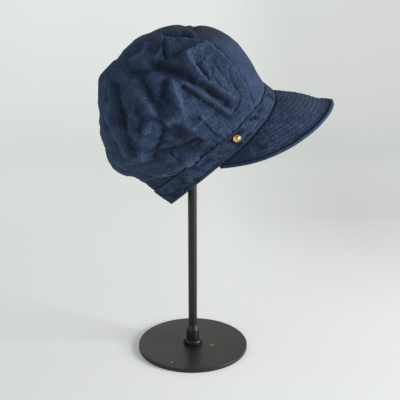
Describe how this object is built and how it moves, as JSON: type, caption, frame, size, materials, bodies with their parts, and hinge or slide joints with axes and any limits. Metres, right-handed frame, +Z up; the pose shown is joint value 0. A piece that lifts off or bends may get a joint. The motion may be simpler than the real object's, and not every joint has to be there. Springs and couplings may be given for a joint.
{
  "type": "sun hat on a stand",
  "caption": "Baggy cloth sun hat with a plain band and a stitched peak, resting tilted on a slim round-based display stand.",
  "frame": {"origin": "middle of the underside of the stand's base", "axes": "+Z up; +X the way the peak points; -Y the side of the hat that is the wearer's right"},
  "size_m": [0.2982, 0.2148, 0.4473],
  "materials": {
    "navy_cloth": "washed plain-weave cotton, crumpled, matt",
    "quilted_cloth": "washed cotton in two layers, sewn in close rows, matt",
    "gold_metal": "satin, gold tone",
    "black_metal": "black satin paint with small worn spots",
    "head_plastic": "plain matt black"
  },
  "bodies": {
    "root": {"crown_centre_panel": "navy_cloth", "crown_side_right": "navy_cloth", "crown_side_left": "navy_cloth", "band": "navy_cloth", "peak": "quilted_cloth", "stud": "gold_metal", "stand_base": "black_metal", "stand_flange": "black_metal", "stand_collar": "black_metal", "stand_post": "black_metal", "stand_head": "head_plastic"}
  },
  "joints": []
}
